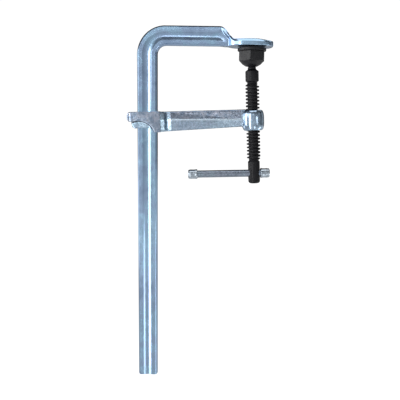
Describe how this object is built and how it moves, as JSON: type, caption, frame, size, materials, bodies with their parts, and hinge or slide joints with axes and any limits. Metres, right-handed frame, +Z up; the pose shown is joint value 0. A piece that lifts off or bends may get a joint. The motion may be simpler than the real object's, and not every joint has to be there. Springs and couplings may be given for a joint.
{
  "type": "bar clamp",
  "caption": "All-steel sliding-arm bar clamp: L-shaped grooved rail with a forged jaw, canted sliding arm, trapezoidal screw with a swivel pad and a loose tommy bar.",
  "frame": {"origin": "centre of the fixed jaw's flat face, on the line that the pad presses along", "axes": "+Z up along the rail, from its free end to the fixed jaw; +X from the rail out along both arms; Y across the clamp's flat sides"},
  "size_m": [0.169, 0.038, 0.4256],
  "materials": {
    "bright_zinc": "bright blue-passivated zinc plating, drawn and forged surface",
    "dull_zinc": "dull grey-blue zinc plating",
    "cap_zinc": "bright zinc plating, crimped",
    "black_oxide": "satin black oxide on machined steel",
    "spring_steel": "oiled spring wire"
  },
  "bodies": {
    "rail": {"rail": "bright_zinc"},
    "sliding_arm": {"sliding_arm": "bright_zinc"},
    "ball_ring": {"snap_ring": "spring_steel"},
    "spindle": {"spindle": "black_oxide"},
    "pad": {"hex_socket": "black_oxide", "pressure_plate": "black_oxide"},
    "tommy_bar": {"tommy_bar": "dull_zinc", "bar_cap_left": "cap_zinc", "bar_cap_right": "cap_zinc"}
  },
  "joints": [
    {"name": "arm_slide", "type": "slide", "parent": "rail", "child": "sliding_arm", "axis": [0, 0, -1], "range_m": [0, 0.3]},
    {"name": "spindle_travel", "type": "slide", "parent": "sliding_arm", "child": "ball_ring", "axis": [0.0506, 0, -0.9987], "range_m": [0, 0.032]},
    {"name": "spindle_turn", "type": "hinge", "parent": "ball_ring", "child": "spindle", "pos_m": [0, 0, -0.0125], "axis": [0.0506, 0, -0.9987], "range_deg": [0, 2880]},
    {"name": "pad_tilt", "type": "hinge", "parent": "ball_ring", "child": "pad", "pos_m": [0, 0, -0.0125], "axis": [0, 1, 0], "range_deg": [-4, 4]},
    {"name": "bar_slide", "type": "slide", "parent": "spindle", "child": "tommy_bar", "axis": [0.9995, 0, 0.0314], "range_m": [0, 0.06]}
  ],
  "couplings": [
    {"joint": "spindle_travel", "follows": "spindle_turn", "m_per_rad": 0.00063662}
  ]
}
